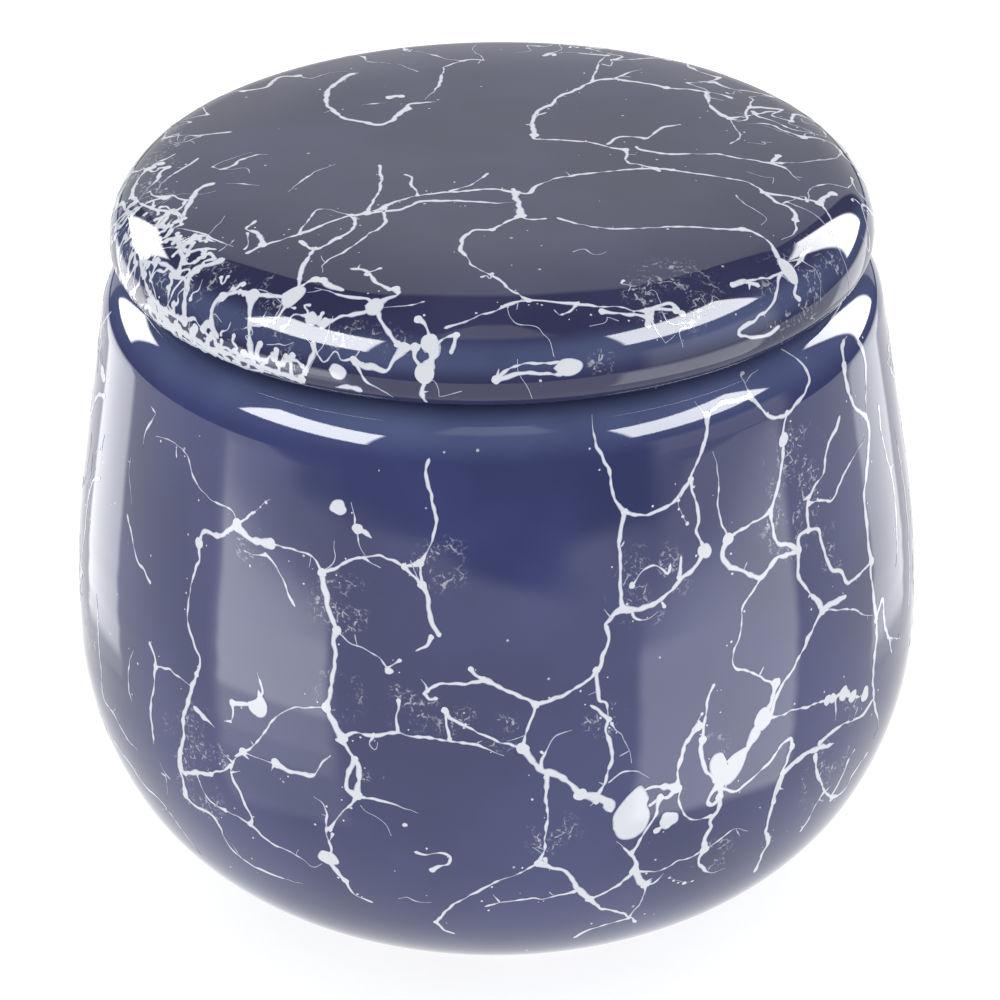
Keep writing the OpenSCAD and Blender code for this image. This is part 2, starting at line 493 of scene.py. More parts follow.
# Each vein is its width, then the places it runs through, in degrees round and mm up.
JAR_VEINS = (
    (0.35, -54, 68.5, -52, 69, -49, 69, -47, 68.6, -44.8, 66.5, -42, 65.2, -38, 64.6, -36.5, 63.3),
    (0.9, -36.5, 63.3, -38, 62, -40, 61, -42, 60.8, -43, 59.4),
    (0.45, -43, 59.4, -42.8, 57.3, -43.6, 55.6, -44, 51, -42.7, 47.6, -41.6, 46.3, -42, 44.2),
    (0.6, -36.5, 63.3, -35, 64.6, -33.7, 65.3),
    (0.45, -54.5, 71, -55.5, 70, -57, 68.3, -57, 66.6),
    (0.25, -60.2, 64, -60.5, 62.3, -59.3, 60, -58.8, 58.8),
    (0.4, -59.7, 57.4, -57.3, 54.5, -56, 53, -54.2, 52.6, -52, 51.7),
    (1, -36.5, 63, -35, 62.2, -33.9, 61.9, -32.5, 62, -31, 62.3),
    (0.3, -35.2, 60.6, -33.3, 60.7, -31.7, 60.9),
    (0.35, -31.7, 61, -30.1, 60.3, -28.7, 59, -27.7, 57.3, -26.8, 56),
    (0.3, -31, 62.3, -29, 62.5, -27, 62.4, -24.6, 62, -23.2, 60.5),
    (0.25, -23.2, 60.5, -21.7, 61.8, -21.7, 63.2, -21.6, 64.3),
    (0.45, -23.2, 60.5, -21.7, 61.3, -20, 62.2, -18.3, 62.9, -15.8, 63.4, -13.8, 63.1, -12, 62.5, -9.9, 63),
    (0.5, -9.9, 63, -9.2, 64.3, -8.3, 65.8, -7.8, 67.3, -8, 68.6, -8.6, 71.6, -9, 73.2, -8.8, 74.4),
    (0.4, -12, 62.5, -11, 61.6, -9.6, 60.6),
    (0.3, -9.9, 63, -9.6, 62, -9.6, 60.6),
    (0.6, -9.6, 60.6, -9, 59.3, -8.3, 57.6, -8, 56.3, -7.4, 55.2),
    (0.3, -8.4, 54.9, -9.2, 53.8, -10.4, 53.2),
    (0.5, -19.4, 68.8, -19.1, 67.2, -18.6, 65.7, -17.8, 64, -17.2, 63.2),
    (0.7, -18.4, 66, -17.4, 65.7, -16.4, 65.2),
    (1, -23.2, 60.5, -22.5, 58.8, -22.1, 57.1, -21.5, 55.6, -20.8, 54.4),
    (0.25, -20.8, 54.4, -19.1, 53.2, -17.4, 52.8, -15, 51.8, -13.8, 50.7),
    (0.3, -14, 51, -13.2, 51.5, -12.4, 52),
    (0.75, -20.8, 54.4, -21.4, 53, -21.1, 51.3, -21.3, 47.2, -22, 45.3),
    (0.3, -22, 45.3, -24, 45, -26.6, 44.5, -29, 43, -30.8, 40.6, -33, 37.9, -34.2, 37),
    (0.8, -22, 45.3, -21.1, 43.8, -19.8, 42),
    (0.5, -19.8, 42, -18, 43, -15.7, 43, -12.6, 43.8, -10.8, 43.4, -6.1, 43.3, -3, 42.5, -1.2, 42.1, 0.6,
     41.4),
    (0.5, -6.7, 46.7, -6.1, 45.9, -4.9, 45.2, -3, 44.4, -1.2, 43.4, 0.4, 42.7, 2.9, 42.2),
    (0.35, -6.5, 46.5, -6.3, 45, -6.1, 43.3),
    (0.35, -12.6, 43.8, -12.6, 45.2, -12.4, 46.8, -12.5, 47.4),
    (0.35, -15.7, 43, -16.3, 41.8, -15.6, 41.3, -15.2, 42.2),
    (0.8, -19.8, 42, -19.3, 41, -18.2, 39.7, -17.7, 38.2, -17.8, 36.8, -18, 35.2),
    (0.7, -18.2, 39.7, -19, 37.3, -19.2, 35.8, -18, 35.2),
    (0.4, -18, 35.2, -15.9, 34.9, -13.6, 34.6, -12, 34.2, -10.2, 33.9),
    (0.35, -18, 35.2, -19, 33.8, -20.6, 32, -21.9, 30),
    (0.2, -17.6, 34, -16.9, 33.2, -15.6, 32.5, -14.3, 31.5, -13.7, 30.5),
    (0.6, -23.9, 33.9, -22.6, 33.3, -22.4, 31.1, -22.2, 29.4, -22, 27.3, -22.6, 25.7),
    (1, -22.6, 25.7, -21.6, 23.6, -20.7, 22.6),
    (0.4, -20.7, 22.6, -19.8, 20.5, -17.3, 19.6),
    (0.45, -34, 27.3, -32.2, 26.3, -30, 25.5, -27.9, 25, -26.3, 24.4, -25, 23.6, -23.6, 24.6),
    (0.5, -34, 27.3, -33.5, 28.4, -34.2, 30, -35, 31.5, -36, 32.8, -36, 34.4, -34.2, 37),
    (0.9, -35.6, 35.9, -34.2, 37),
    (0.2, -34.2, 37, -31, 37, -29.3, 36.8),
    (0.8, -29.2, 36.9, -27.6, 36.5, -25.9, 36.4, -24, 36.5, -23, 38.2, -21.4, 39.6),
    (0.7, -31.8, 43.2, -34, 42.8, -35.8, 42.6),
    (0.6, -31.5, 44.2, -31, 45.5, -32, 47.3),
    (0.3, -35.8, 42.6, -35.8, 41, -36.2, 40),
    (1.05, -42, 44.2, -43.2, 41.3, -43.8, 39, -44.5, 37.2, -45, 34.7, -45.6, 31, -45.4, 28.2, -45.6, 26.9),
    (0.5, -45.6, 26.9, -43.3, 26, -40.4, 25.8, -38.9, 22.2, -37.3, 21, -35.6, 20.2, -33.5, 20.2, -27.5,
     20.2),
    (0.8, -42.6, 40, -40.6, 39.1, -38.8, 38.6),
    (0.8, -45.6, 31, -44.9, 30.2, -42.6, 31.4, -39.8, 32.2),
    (0.3, -39.8, 32.2, -37.7, 33.7, -36.3, 34.5),
    (0.35, -42.6, 31.4, -41, 28.7, -39.5, 28.1, -38, 27.9),
    (0.25, -38, 27.9, -36.2, 27.6, -34, 27.3),
    (0.4, -51.8, 44.8, -50.4, 43.4, -50.2, 42.2),
    (0.35, -50.2, 42.2, -47.5, 42.9, -45.2, 42.7, -42.8, 42.4),
    (0.5, -50.2, 42.2, -50.8, 39.7, -51.3, 37, -51.4, 34, -51.2, 31.7),
    (0.3, -55.5, 42.2, -57, 39.2, -57, 36.6, -56.2, 35.2),
    (0.5, -68, 44, -67, 38, -66.5, 33.5, -65.8, 31, -62.5, 30.5, -59.5, 29, -55.7, 28.7),
    (0.5, -66, 25, -60.3, 24.7, -57, 23, -52.5, 22.7, -50, 19.6, -48.5, 16),
    (0.25, -50.5, 30, -49.6, 28, -50.2, 25),
    (0.45, -9, 48.7, -8.2, 49.3, -6.7, 49.7, -4.8, 49.7, -2.9, 49.9, -1.8, 50.3),
    (0.35, -1.8, 50.3, -2.9, 51, -3.4, 51.5),
    (0.3, -9.2, 48.5, -8.6, 47.9, -7.8, 48),
    (0.6, -1.8, 50.3, 0.2, 49.6, 2, 48.9, 3.6, 48, 4.6, 47.3),
    (0.45, 4.6, 47.3, 3.9, 45.6, 3.4, 44, 2.9, 42.3),
    (1, 2.9, 42.2, 3.9, 41, 5.1, 39.7, 6.6, 38.8, 8.1, 37.7, 10, 36),
    (1.3, 10, 36, 12, 35.4, 13.3, 34.5, 14, 33.2),
    (0.45, 5.1, 39.7, 5.3, 41.2, 6.4, 43.1, 7.7, 43.8, 9.1, 44),
    (0.6, 5.8, 38.6, 6, 34.8, 6, 33.4, 5.5, 31.2, 5.3, 29.3, 4.8, 27.3),
    (0.4, 4.8, 27.3, 2.1, 26, 0, 25.2, -2, 24, -4.2, 22.4, -6.3, 20.8, -9, 17.3),
    (0.5, -9, 17.3, -8, 15.8, -6.5, 15.1),
    (0.8, 4.8, 27.3, 6.3, 26.5, 8, 25.9, 9.3, 24, 10, 22.6, 11.7, 20.8),
    (0.7, 11.7, 20.8, 13.8, 21.6, 15.8, 23, 17.4, 24.3),
    (0.35, 9.5, 22.4, 5.8, 21.8, 3.5, 21.7, 0.5, 21.2, -2.2, 20.6),
    (0.3, -13.6, 21, -12.3, 21.5, -10.9, 21.1, -9.2, 21),
    (0.45, -10.9, 28.7, -9.2, 28.5, -7.6, 28.8, -6.3, 28.3, -6.6, 27.2, -7.9, 26.7, -8.7, 26.2),
    (0.7, 17.4, 24.3, 17.4, 25.9, 16.8, 27.2, 14.6, 29.2),
    (0.5, 16.8, 27.2, 17.8, 28.6, 19, 30.3, 19.6, 31.5, 20, 33, 20.4, 33.9),
    (0.5, 19, 33.2, 20.4, 33.9, 21.5, 33.7, 22.6, 34.6),
    (1.6, 17.6, 35, 19, 35.4, 20.5, 35.4, 21.8, 35.1, 22.6, 34.6),
    (0.8, 22.6, 34.6, 22.5, 36.9, 23, 38.4, 23.7, 40, 24.8, 41, 25.8, 41.6),
    (0.5, 20, 29.6, 20.8, 30, 21.6, 30.6),
    (0.3, 23.2, 34.4, 23, 32.8, 23.8, 31.2, 25, 30, 27.6, 29.6),
    (0.9, 28.2, 34.3, 27, 35.7, 26.3, 37, 26.1, 38.4, 26.3, 39.8),
    (0.4, 26.3, 39.8, 26.6, 41.5, 27, 43.5, 27.6, 45.2, 28.3, 46.2),
    (0.9, 28.8, 33.6, 27.4, 32.8, 27, 31.6, 27.8, 31, 28.8, 31.9, 28.8, 33.6),
    (0.8, 28.8, 31.9, 28.6, 30, 27.8, 28.8, 28, 28, 27.2, 26.7, 27.3, 24.8),
    (0.6, 27.3, 24.8, 26.5, 22.9, 28.8, 20.9, 31.6, 20.3),
    (0.55, 28.8, 33.1, 30.2, 32.4, 31.5, 32, 33.3, 32.6, 35.3, 33.5, 36.8, 34, 38.6, 35.4, 40.2, 35.8, 40.5,
     34.5),
    (0.6, 40.5, 34.5, 39.5, 32.8, 38.3, 30.5, 37.8, 28),
    (0.4, 17.4, 24.3, 21, 23.7, 23.2, 24.3, 25.2, 24.4, 27.2, 25, 29.5, 25.6, 31.8, 26.2, 34, 25.3),
    (0.9, 17.4, 24.3, 18.5, 22.5, 19.3, 21.6),
    (0.5, 19.3, 21.6, 20.6, 21.5, 21.7, 22.8),
    (0.6, 11.7, 20.8, 13.2, 18.8, 15.6, 17.6, 18, 15.7, 19.5, 14.3),
    (0.3, 18, 15.7, 19, 18.2, 19.3, 21.6),
    (0.5, 10.5, 13, 12.2, 14.5, 14.5, 15.2, 16.5, 15.5, 18, 15.7),
    (0.7, 16.2, 57, 14, 55.9, 13.8, 55.3, 14.2, 54, 13.9, 52.6, 12.9, 50.9, 11.5, 50.1, 9.9, 48.9, 7.2, 47.7,
     4.6, 47.3),
    (0.6, 12.4, 50.6, 12.4, 47.3, 13.5, 46.5, 14, 44.9, 13.3, 43.4, 13.8, 41.4, 14.2, 39.6, 13.5, 38.2, 12,
     35.4),
    (0.5, 11.4, 46.7, 12.8, 45.5, 13.8, 44.7),
    (0.4, 14.1, 44.2, 15.2, 42.8, 16.2, 41, 16.6, 39),
    (0.3, 13.5, 37, 14.6, 37.7, 16.1, 37.9, 17.9, 37.3, 18.9, 36.7),
    (0.5, 14, 77.5, 13.5, 76.5, 13.9, 75, 14.8, 72.7, 15.2, 70.9, 15.7, 69.2, 17.1, 67.6),
    (0.5, 17.1, 67.6, 19, 67, 21.2, 67.2, 24.3, 67.8, 25.8, 68.9, 26.9, 69.6, 28, 71.1, 29.2, 73.2, 30.7,
     75.7),
    (0.55, 17.1, 67.6, 16.8, 66, 16.6, 65, 16.4, 63, 16, 60.8, 15.7, 58.9, 16.2, 57),
    (0.8, 16.2, 57, 17.4, 56.6, 19.5, 56.5, 21.2, 57, 22.7, 58.2, 24.2, 59.2, 25.7, 59.8, 27.2, 60.5, 28.2,
     61.4),
    (0.35, 17.4, 56.6, 17.9, 55.8, 19.4, 55.6, 21, 56),
    (0.6, 28.2, 61.6, 27.6, 62.5, 27, 63.6, 27.3, 64.7, 27.5, 65.8, 27.4, 67.2, 26.9, 69.6),
    (0.35, 17.6, 59.4, 19, 60.6, 20.7, 61, 21.8, 60.5, 22.6, 60, 23.1, 61),
    (0.4, 24.2, 59.2, 24.7, 60.3, 24.7, 61.6),
    (0.5, 29.6, 77, 30.7, 75.7, 31.9, 76, 34, 76.4, 36.6, 76.1, 38.6, 76),
    (0.6, 38.6, 76, 38.7, 77.5, 40, 77.8),
    (0.55, 38.6, 75.8, 40.2, 74.2, 42.3, 73.1, 44.2, 73, 47, 73.6, 49, 74.2, 50.3, 75.6, 49, 78),
    (0.6, 43, 71, 42.7, 69.2, 41.9, 67.3, 40.9, 65.6, 39.3, 63.2),
    (0.4, 43, 71, 44.2, 73),
    (0.4, 39.3, 63.2, 36, 62.5, 33.5, 62.2, 31.9, 61.9),
    (0.3, 31.9, 61.9, 31.2, 63.6, 30.8, 65.6, 31, 67.8, 30.8, 70, 30.6, 72),
    (0.8, 31.9, 61.9, 31, 60, 32.7, 58.4, 34.3, 57.2, 36.4, 56.2, 38, 56.9, 39.6, 57.6, 41.1, 57.3, 43.7,
     57.4),
    (0.4, 36.4, 56.2, 33.7, 54, 32.8, 52.4, 32.1, 50.5, 31.3, 47.6, 34.1, 45.6, 37.2, 43.7),
    (0.7, 39.3, 63.2, 39.7, 61.2, 40.1, 59.5, 41.7, 58.7, 43.7, 57.4),
    (0.6, 43.7, 57.4, 44.2, 58.7, 46, 59, 46.3, 60.3, 46.7, 61.9, 48.3, 63.3, 50.6, 64.1, 52, 66.5, 56,
     69.2),
    (0.6, 46, 59, 48, 58.2, 48.4, 56.4, 48.7, 54.6, 49.6, 52.9, 51.6, 52, 53, 50, 56, 50.2, 59.7, 50.3),
    (0.4, 62.5, 64.4, 57.2, 63, 53.8, 61.8, 51.7, 60.9, 46.7, 61.9),
    (0.9, 59, 74, 58.8, 72.2, 59.6, 70, 62.2, 67.6, 64, 65.4, 62.5, 62, 61.2, 60, 59.7, 57.6, 59.7, 50.3),
    (1, 59, 74, 60.5, 75.8, 63, 76),
    (1, 65, 75, 66, 72, 64, 67),
    (0.6, 69, 66, 69, 62, 70, 58, 71, 54, 70, 50, 68, 46),
    (0.7, 76, 60, 77, 52, 76, 44, 74, 38),
    (0.8, 43.7, 57.4, 43.3, 54.7, 44.6, 52.7, 46, 51, 47.1, 49.1),
    (0.8, 47.1, 49.1, 44.7, 47.8, 43.2, 46.5, 41.6, 45.1, 39.8, 43.4, 38.7, 42.5, 37.3, 41.2, 36.6, 39.6),
    (0.5, 47.1, 49.1, 52.4, 47, 56, 45.5, 58.8, 43.9),
    (0.8, 47.1, 49.1, 52.5, 48.9),
    (0.8, 59.7, 50.3, 59, 48.8, 59.7, 43, 59.4, 40.3, 58.7, 37.5, 58.8, 35, 59.8, 31.6, 62, 27.5),
    (0.6, 59.7, 43, 62, 44.5, 62.5, 42, 63.5, 39, 65, 36.2),
    (0.4, 63.5, 39, 69, 36.2),
    (0.4, 47.3, 37.9, 43.6, 38.7, 41.1, 38.9, 38.3, 39, 36.6, 39.6),
    (1.0, 47.3, 37.9, 48.4, 37.7, 50.8, 37.3, 53, 36, 56.3, 34.8),
    (0.4, 49, 37.5, 49, 34.5),
    (0.6, 45.8, 32.9, 48, 33, 51.3, 33, 54.8, 32.5, 58.8, 33),
    (0.9, 39, 31.6, 42.8, 32.3, 45.7, 32.1, 48.9, 31.6),
    (0.7, 39, 31.6, 38.6, 30, 37.8, 28, 37.2, 26, 37.3, 23.6, 38.5, 21.4, 38, 19.8, 38.5, 16.5),
    (0.6, 45, 31.5, 46.3, 28.5, 48.8, 25, 51.5, 22.4),
    (0.5, 48.3, 24.8, 46.8, 23, 45.5, 20),
    (0.6, 53.4, 27.5, 52.2, 25, 51, 23),
    (0.7, 60, 25, 56.5, 23.5, 54.8, 22, 51.5, 22.4),
    (1.6, 32.3, 36, 33.5, 37.4, 34.7, 39, 35.6, 40),
    (1, 35.6, 40, 36.6, 41.3, 37.3, 42.6, 37.8, 43.5),
)

# Strings of beads, written in the same way.
JAR_BEADS = (
    (0.4, 25, 41.4, 25.8, 42.2, 26.4, 43.2),
    (0.45, 22.7, 21.8, 24, 20.6, 25.5, 20, 26.8, 20),
    (0.4, 25.9, 64.9, 25.1, 66.2, 24.7, 67.2, 25.2, 68.4),
    (0.35, -33.7, 65.3, -32.3, 66.5, -31.3, 67.2),
)

# Drops, as (degrees round, mm up, radius).
JAR_DROPS = (
    (-21.2, 68, 0.8), (-13.8, 50.7, 0.4), (-22.6, 25.7, 1.1), (-11.9, 32.2, 0.25), (28.2, 61.4, 0.8),
    (17.6, 59.4, 0.35), (43, 70.3, 0.7), (48.4, 37.7, 0.6), (50.8, 37.3, 0.85), (53, 36, 0.8),
    (56.3, 34.8, 0.9), (21.6, 30.7, 1.05), (35.4, 39.5, 1.05)
)

# The rims of the larger pools, in degrees round and mm up.
JAR_POOLS = (
    (14.2, 31, 15, 29.6, 16.6, 29.2, 18.2, 30, 19, 31.8, 18.6, 33.4, 18.8, 34.3, 17.8, 35.9, 16.3, 35.1, 15,
     33.8, 14.2, 32.6),
    (27.4, 35.3, 28.5, 33.9, 30, 33.1, 31.5, 33.9, 32.5, 35.3, 33, 37, 31.8, 37, 30.6, 36.7, 29.5, 36.2,
     29.2, 37.4, 28, 37.5, 27.3, 36.6),
    (-33.4, 43.4, -33, 42.5, -31.6, 42, -30.6, 42.6, -30.5, 43.8, -31.3, 44.8, -31.8, 45.3, -32, 44.2),
)

# Patches where fine lace fills the glaze, as (degrees round, mm up, radius).
JAR_FROST = (
    (-42.2, 35.2, 3.5), (-42.5, 28.5, 2.5), (-20, 57, 2.5), (-20.5, 47, 2), (-34, 61.5, 1.5),
    (-7, 63, 2), (20, 59, 3), (45, 66, 3.5), (43, 61, 3), (50, 55, 2), (51, 35, 2), (48, 28, 3),
    (6.5, 31, 2), (13, 45, 1.5), (-11, 47, 2), (-5, 45.5, 1.5), (1, 44, 1.5), (27.5, 38, 1.5),
    (29, 23, 2), (-16, 37, 1)
)

# On the lid's top: a width, then places in mm right and mm back.
LID_TOP_VEINS = (
    (0.8, -16, 26, -17.7, 24, -18.7, 21, -19.1, 16.8, -18.3, 14, -16.7, 11.4, -14.7, 10, -12.8, 9.4, -11.2,
     11, -9.6, 14),
    (0.5, -15, 15.2, -13.5, 15.7, -12, 15.8),
    (0.5, -11.8, 17.6, -11, 17.9, -10.4, 17.9),
    (0.6, -9.6, 14, -9.2, 15.5, -6.3, 16),
    (0.5, -7.6, 16.7, -6.6, 20, -5.9, 21.7, -5.7, 26.5, -5.2, 27.6, -3, 29.4, -0.5, 29.4),
    (0.6, -26.3, -24.7, -24.5, -23, -22.7, -22.2, -20.6, -21, -18.8, -19.6, -17, -17.6, -15.2, -16.4, -13.5,
     -15.9),
    (0.6, -13.5, -15.9, -11.7, -14.6, -10, -12.8, -8.1, -11.3, -6.3, -10.7, -4.5, -10.2, 0, -10, 2.7, -10.8),
    (0.7, -13.5, -15.9, -10, -15, -8, -13, -6, -13, -2.6, -13.2, 0.5, -13.8, 2.8, -13.5),
    (1, 2.7, -10.8, 3, -14.5, 3.2, -17.2),
    (0.5, 3.2, -17.2, 3.8, -18, 6, -18),
    (0.5, 0, -20.8, 1, -19.5, 3.2, -17.2),
    (0.6, 2.7, -10.8, 4.2, -11, 5.1, -9.2, 7.1, -7.4, 9.7, -6.4, 12, -5.8, 14.2, -5.3, 18.4, -4.7, 20.2,
     -5.2),
    (0.5, 20.2, -5.2, 22.3, -6.2, 24.5, -6.9, 27, -7.8, 28.5, -9, 29.8, -11.2, 31.1, -13.4, 32.5, -14.5, 33,
     -17.5),
    (0.35, 33, -17.5, 32.5, -20.5, 31.2, -22.3),
    (0.5, 7, -17.8, 8, -18.7, 10.1, -20, 12.3, -21, 14.8, -21, 17.3, -20.9, 19.8, -20.5, 24.4, -20.5, 26.9,
     -20.6),
    (0.8, 26.9, -20.6, 28.6, -21.4, 29.8, -22.6, 30.6, -24.3, 31.3, -26.2),
    (0.7, 5, 5.5, 4.8, 9, 5.5, 12.8, 7.1, 14.4, 8.3, 16.9, 10.1, 19.4, 12.2, 22, 14.6, 22.4, 16.5, 21.5,
     20.8, 19.6),
    (0.6, 20.8, 19.6, 23.1, 19.2, 25.4, 18.4, 27.6, 17.3, 28.5, 16.5),
    (0.4, 12.2, 22, 13.2, 27.2, 14.3, 31.5, 15, 33.3),
    (0.4, 6.3, 31.9, 9.2, 32.5, 14.3, 31.5),
    (0.4, 14.6, 22.4, 15.8, 23.6, 18.3, 26.3),
    (0.8, 25.4, 18.4, 26, 13.2, 27.6, 9.9),
    (0.25, 27.6, 9.9, 28.6, 4.9, 27, 2),
    (0.5, 5, 5.5, 5.2, 4.2, 8.2, 3.9, 11.6, 3.1, 13.8, 1.5, 15.2, 0.8),
    (0.6, 16.4, 1.8, 17, 0.8, 19.4, -0.3, 22.7, -0.6, 25.7, -0.8, 28, -1.9, 30.1, -2.7, 32.4, -4, 34.3,
     -7.5),
    (0.5, 13.1, 2.3, 14.7, 4.4, 17, 4.3, 17.7, 4, 19.7, 7, 21.9, 8.1),
    (0.5, 15.2, 0.8, 15.3, -2.8, 16.5, -3.4, 18.4, -4.7),
    (0.6, 27.6, 9.9, 30.5, 11.8, 32.5, 13, 35, 13),
    (0.6, 30.5, 11.8, 32.5, 9.5, 35, 7.8, 38, 7),
    (0.5, 29.8, -11.2, 33.5, -12, 36.2, -12.7, 37.8, -15, 39, -18.5),
    (0.9, 36.2, -12.7, 38, -9.8, 39, -9),
    (0.8, -25.2, 0.8, -26.4, 0.7, -27.9, -0.5, -29.1, -2.2, -30.5, -3),
    (0.4, -33, 1, -34.5, -1.5, -36.4, -4, -37.5, -7.5),
    (0.8, -30.6, -6.5, -32.2, -7.8, -33.2, -11.8, -34, -15.5),
    (0.3, -29.3, -7, -27, -7.4, -25.6, -8),
    (0.5, -32.5, 8.2, -35, 6.3, -38, 5.5),
    (0.35, -22.4, -10, -21.1, -7, -19.7, -4.6, -17.4, -2.2),
    (0.5, -12.5, -2.5, -12, -7, -12.2, -10, -13.5, -15.9),
    (0.4, -9.7, -5.3, -8.7, -6.5, -8.7, -8.2, -8.1, -11.3),
    (0.4, -4.5, -10.2, -2.7, -9, -0.3, -5.3),
    (0.8, -25.5, -17, -26.3, -19, -25, -20, -24.5, -23),
    (0.3, -20.6, -21, -18.8, -14.8, -15.2, -16.4),
    (0.5, -15.2, -16.4, -14.7, -20, -16.4, -22.3),
    (0.7, -20.6, -22.5, -18.8, -24.5, -16.4, -22.3),
    (0.7, -18.8, -24.5, -20, -28, -20.5, -33),
    (0.4, -11.7, -14.6, -11.4, -19, -13.5, -21.8, -15.6, -25.3, -17.5, -28, -17.9, -30),
    (0.9, -17.8, -31.5, -16.6, -33, -15.5, -34),
    (0.6, -15, -29.5, -13.5, -30.2, -12.4, -32.4, -10.7, -34.2),
    (0.5, 0, -20.8, -2, -21.3, -3.5, -24.8, -2.9, -28, -2, -29.8, 0, -32, 1.5, -34.7, 2.5, -36, 3.7, -37),
    (0.55, 3.7, -37, 6.3, -37.4, 8.7, -37.6, 11, -37.9, 13.2, -38, 15.4, -38.3, 16.5, -38.4),
    (0.5, 3.7, -37, 1.8, -37.7, 0, -39, -1.6, -39.8, -3.6, -41, -5.3, -42),
    (0.4, 7, -39.7, 8.2, -38.6, 8.7, -37.6),
    (0.5, 16.5, -38.4, 18.2, -37.4, 19.2, -37, 20, -38),
    (0.4, 16.5, -38.4, 17, -40.3, 17.3, -41.3),
    (0.8, 30, -31.8, 28.3, -31.6, 26, -32.3),
)

# On the lid's side: a width, then places in degrees round and mm along the skin from its lower edge.
LID_SIDE_VEINS = (
    (1.2, -38.5, 10.2, -38, 9, -37, 7, -36, 5, -35.5, 3.5),
    (0.8, -38.5, 10.2, -41, 9.8, -43.5, 8.9),
    (1.1, -43.5, 8.9, -44.2, 8, -44, 6.8, -43.3, 5.6, -42, 4.5),
    (1.2, -48.5, 13, -49.6, 12, -51.5, 10.8, -52, 9.5, -51.5, 8.5, -50.5, 7, -49.7, 5.8, -49.5, 4.8),
    (0.8, -49.5, 4.8, -53, 4.4, -56, 4.6, -59, 5.2, -62, 6.5, -63.5, 8.5, -63, 10.5, -61, 12),
    (0.7, -49.5, 4.8, -47.5, 5.6, -45.5, 5, -43.5, 4.2),
    (1.1, -60, 3.6, -55, 3.5, -50, 3.3, -45, 3.1, -41, 3.4, -37, 3.1, -33, 3, -30, 2.9, -27.5, 2.4),
    (0.7, -58, 2.6, -52, 2.4, -47, 2.2, -42, 2.3, -37, 2.1, -32, 2.2, -29, 2),
    (0.9, -27.5, 2.8, -26.8, 4, -25.7, 5.5, -26, 6.8, -28, 7.6),
    (0.8, -32.5, 11.2, -34.5, 10.8, -36.5, 10.4, -38.5, 10.2),
    (0.7, -32.5, 11.2, -32, 9.8, -32.7, 8.6, -34.2, 7.9, -36.8, 7.5),
    (0.8, -32.3, 11.8, -31.6, 13.3, -30.6, 14.6),
    (0.7, -29, 9.4, -27, 9.2, -25.2, 9),
    (1, -18.5, 12, -17, 13.2, -15.5, 14.3, -16.5, 15.4),
    (0.5, -29.5, 13.2, -24, 12.8, -20, 12.9, -18.5, 12),
    (0.7, -18.5, 12, -20, 11, -22.5, 10.2, -25, 9.3),
    (0.6, -18.5, 12, -17, 11, -16, 10, -14.5, 8.6, -13.6, 8.1),
    (0.9, -13.6, 8.1, -12.5, 7.8, -11, 7.9, -10, 8.1, -9, 8.4),
    (1, -11.2, 11, -10.2, 10.6, -9.4, 9.6, -9, 8.4),
    (1.6, -9, 8.4, -8.3, 7.5, -9, 6.2, -9.5, 5.3),
    (0.8, -9.5, 5.3, -9.8, 3.6, -9.7, 2.6, -9.3, 1.6),
    (0.5, -11, 7.9, -10.8, 6.8, -10.3, 6, -9.5, 5.3),
    (0.9, -19.3, 5.7, -17, 5.5, -14.9, 5.2, -13.5, 6.6, -12.5, 7.8),
    (1.2, -22.3, 2.6, -20.5, 2.8, -18.3, 2.6),
    (0.5, -19.7, 6, -17.9, 4.2, -15.7, 3.3, -14, 2.2),
    (0.35, -26, 6.8, -24.6, 5.2, -23.6, 5.3, -22.5, 6.4, -21.5, 5.7, -19.7, 6, -18.9, 7),
    (0.3, -17, 12, -15, 12.4, -12.8, 13, -10.8, 13.6),
    (0.45, -5.3, 9.4, -7.4, 8.8, -8.4, 8),
    (0.35, -5.3, 9.4, -5.5, 8.3, -5.9, 7.6),
    (0.5, 0.3, 4.8, 1.4, 5.5, 3.2, 6, 5.5, 6.3, 8, 6.4, 9.6, 6.3),
    (0.6, 0.3, 4.8, 2, 5.1, 3.6, 5.3, 6, 5.1, 8.3, 4.9, 9.6, 5.2),
    (0.5, 16.5, 11.2, 19, 10.7, 22, 10, 23.3, 9.5),
    (0.5, 23.3, 9.5, 24.5, 10.4, 27, 10, 28.5, 9.2),
    (0.35, 23.3, 9.5, 24, 8, 24.6, 6.6),
    (0.4, 49.5, 9.6, 46, 9.9, 43, 10.3, 40, 10.6),
    (0.5, 49.5, 9.6, 47.5, 9.2, 44.5, 7.3, 41.8, 6.5, 37.3, 6, 37, 5.2, 40.5, 4.5, 44.5, 4.5),
    (0.5, 50, 9, 50.3, 8.2, 49, 7, 49.5, 6.2),
    (0.7, 51.5, 9.4, 53.5, 9.5, 55.5, 9.8, 58, 10.2),
    (0.6, -66, 14.3, -70, 13.4, -74, 12, -78, 10.8, -83, 10),
    (0.6, -64, 12.8, -60, 13.8, -57, 14.5, -53.5, 14.8, -50.5, 15.1),
    (0.7, -61, 12, -57, 11.6, -54.5, 12.4, -52, 13.6),
    (0.6, -70, 13.4, -68, 11.5, -65.5, 10.2, -63.5, 8.5),
    (0.9, -62, 6.5, -64.5, 7.4, -67.5, 9, -72, 9.6, -77, 9),
    (0.7, -83, 10, -88, 11, -92, 13, -95, 15),
)

